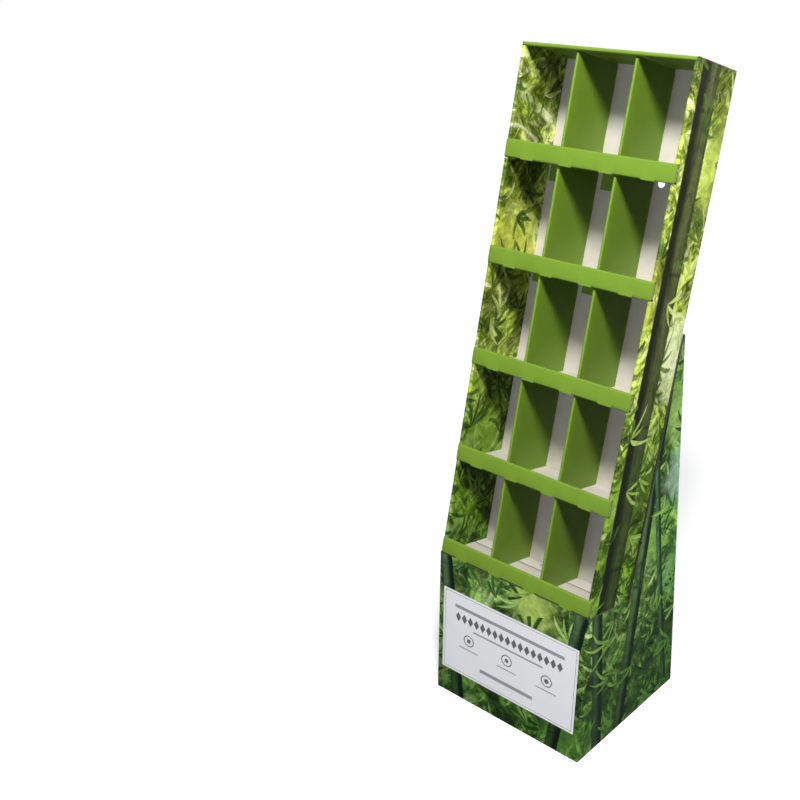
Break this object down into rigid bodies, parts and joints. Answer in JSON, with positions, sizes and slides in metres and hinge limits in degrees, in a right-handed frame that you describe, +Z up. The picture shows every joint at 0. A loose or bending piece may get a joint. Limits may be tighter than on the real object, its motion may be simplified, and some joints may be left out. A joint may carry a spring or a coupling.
{
  "type": "cardboard display stand",
  "caption": "Free-standing corrugated board display stand: a folded plinth carries a tower that leans back, with lipped shelves split into pockets by upright dividers.",
  "frame": {"origin": "under the middle of the stand at floor level", "axes": "+Z up, +Y to the back, towards which the tower leans, +X to the right seen from the front"},
  "size_m": [0.4, 0.4002, 1.461],
  "materials": {
    "printed_board": "satin printed outer liner with a green leaf pattern, white inside",
    "green_board": "satin printed leaf green",
    "plain_board": "unprinted brown corrugated board",
    "label_paper": "smooth white label paper"
  },
  "bodies": {
    "root": {"plinth_sleeve": "printed_board", "tower_shell": "printed_board", "top_cap": "printed_board", "plinth_insert": "plain_board", "front_label": "label_paper", "shelf_1": "green_board", "divider_1_left": "green_board", "divider_1_right": "green_board", "shelf_2": "green_board", "divider_2_left": "green_board", "divider_2_right": "green_board", "shelf_3": "green_board", "divider_3_left": "green_board", "divider_3_right": "green_board", "shelf_4": "green_board", "divider_4_left": "green_board", "divider_4_right": "green_board", "shelf_5": "green_board", "divider_5_left": "green_board", "divider_5_right": "green_board"}
  },
  "joints": []
}
